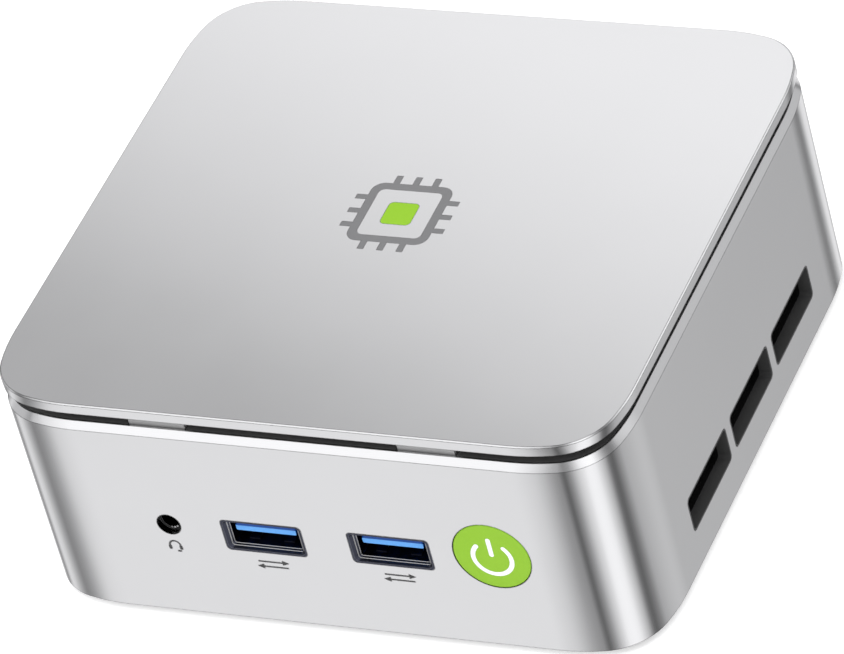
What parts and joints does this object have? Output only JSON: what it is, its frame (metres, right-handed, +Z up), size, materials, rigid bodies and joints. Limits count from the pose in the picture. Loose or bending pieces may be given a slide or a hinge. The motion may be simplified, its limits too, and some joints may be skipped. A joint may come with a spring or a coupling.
{
  "type": "mini pc",
  "caption": "Palm-sized desktop computer: rounded silver housing, floating lid over an air gap, front sockets and round power button, side vents, fans and board inside.",
  "frame": {"origin": "on the table, under the middle of the body", "axes": "+X to the right seen from the front, +Y from the front panel to the rear sockets, +Z up"},
  "size_m": [0.114, 0.1082, 0.0469],
  "materials": {
    "silver_metal": "satin silver, fine bead-blast grain",
    "black_plastic": "fine matt texture",
    "vent_plastic": "satin dark grey",
    "grey_plastic": "satin light grey",
    "emblem_grey": "satin print",
    "accent_green": "satin green",
    "symbol_white": "satin white",
    "mark_grey": "printed",
    "rubber": "matt",
    "steel": "satin",
    "screw_black": "black oxide",
    "brass": "machined",
    "copper": "lacquered copper",
    "usb_case": "dark nickel",
    "usb_blue": "moulded blue",
    "gold": "gold plated",
    "socket_steel": "tin plated",
    "board_black": "black solder mask",
    "board_green": "green solder mask",
    "chip_black": "moulded epoxy",
    "fin_metal": "stamped sheet",
    "mesh_black": "fine dust mesh",
    "wire_black": "flexible insulation"
  },
  "bodies": {
    "base": {"antenna_leads": "wire_black", "antennas": "black_plastic", "audio_jack": "black_plastic", "blower_cover": "steel", "blower_housing": "black_plastic", "blower_motor": "steel", "board_screws": "steel", "board_standoffs": "brass", "bottom_cover": "black_plastic", "bottom_cover_screws": "screw_black", "bracket_inserts": "brass", "button_guide": "black_plastic", "coin_cell": "steel", "cooler_base": "copper", "cooler_fins": "fin_metal", "cooler_screws": "steel", "dc_inlet": "black_plastic", "dc_pin": "steel", "drive_board": "board_green", "drive_chips": "chip_black", "drive_screw": "steel", "drive_socket": "black_plastic", "fan_headers": "grey_plastic", "fan_leads": "wire_black", "fan_plugs": "grey_plastic", "front_marks": "mark_grey", "hdmi_shells": "socket_steel", "hdmi_tongues": "black_plastic", "heat_pipes": "copper", "housing_shell": "silver_metal", "lan_socket": "socket_steel", "memory_board": "board_green", "memory_chips": "chip_black", "memory_socket": "black_plastic", "motherboard": "board_black", "power_switch": "black_plastic", "processor": "chip_black", "radio_module": "socket_steel", "rear_vent_grille": "vent_plastic", "rubber_feet": "rubber", "socket_contacts": "gold", "top_fan_frame": "black_plastic", "top_fan_motor": "steel", "top_frame": "black_plastic", "top_screws": "screw_black", "usb_shells": "usb_case", "usb_tongues": "usb_blue", "vent_insert_left": "vent_plastic", "vent_insert_right": "vent_plastic", "vent_meshes": "mesh_black"},
    "lid": {"lid_panel": "silver_metal", "lid_frame": "black_plastic", "lid_clips": "grey_plastic", "lid_emblem": "emblem_grey", "lid_emblem_core": "accent_green"},
    "power_button": {"power_button_cap": "accent_green", "power_symbol": "symbol_white", "switch_plunger": "grey_plastic"},
    "top_fan": {"top_fan_rotor": "black_plastic"},
    "blower": {"blower_rotor": "black_plastic"}
  },
  "joints": [
    {"name": "lid_lift", "type": "slide", "parent": "base", "child": "lid", "axis": [0, 0, 1], "range_m": [0, 0.04]},
    {"name": "power_press", "type": "slide", "parent": "base", "child": "power_button", "axis": [0, 1, 0], "range_m": [0, 0.0005], "stiffness_N_per_m": 800},
    {"name": "top_fan_spin", "type": "hinge", "parent": "base", "child": "top_fan", "pos_m": [0, -0.004, 0.035], "axis": [0, 0, 1], "continuous": true},
    {"name": "blower_spin", "type": "hinge", "parent": "base", "child": "blower", "pos_m": [0, -0.005, 0.008], "axis": [0, 0, 1], "continuous": true}
  ]
}
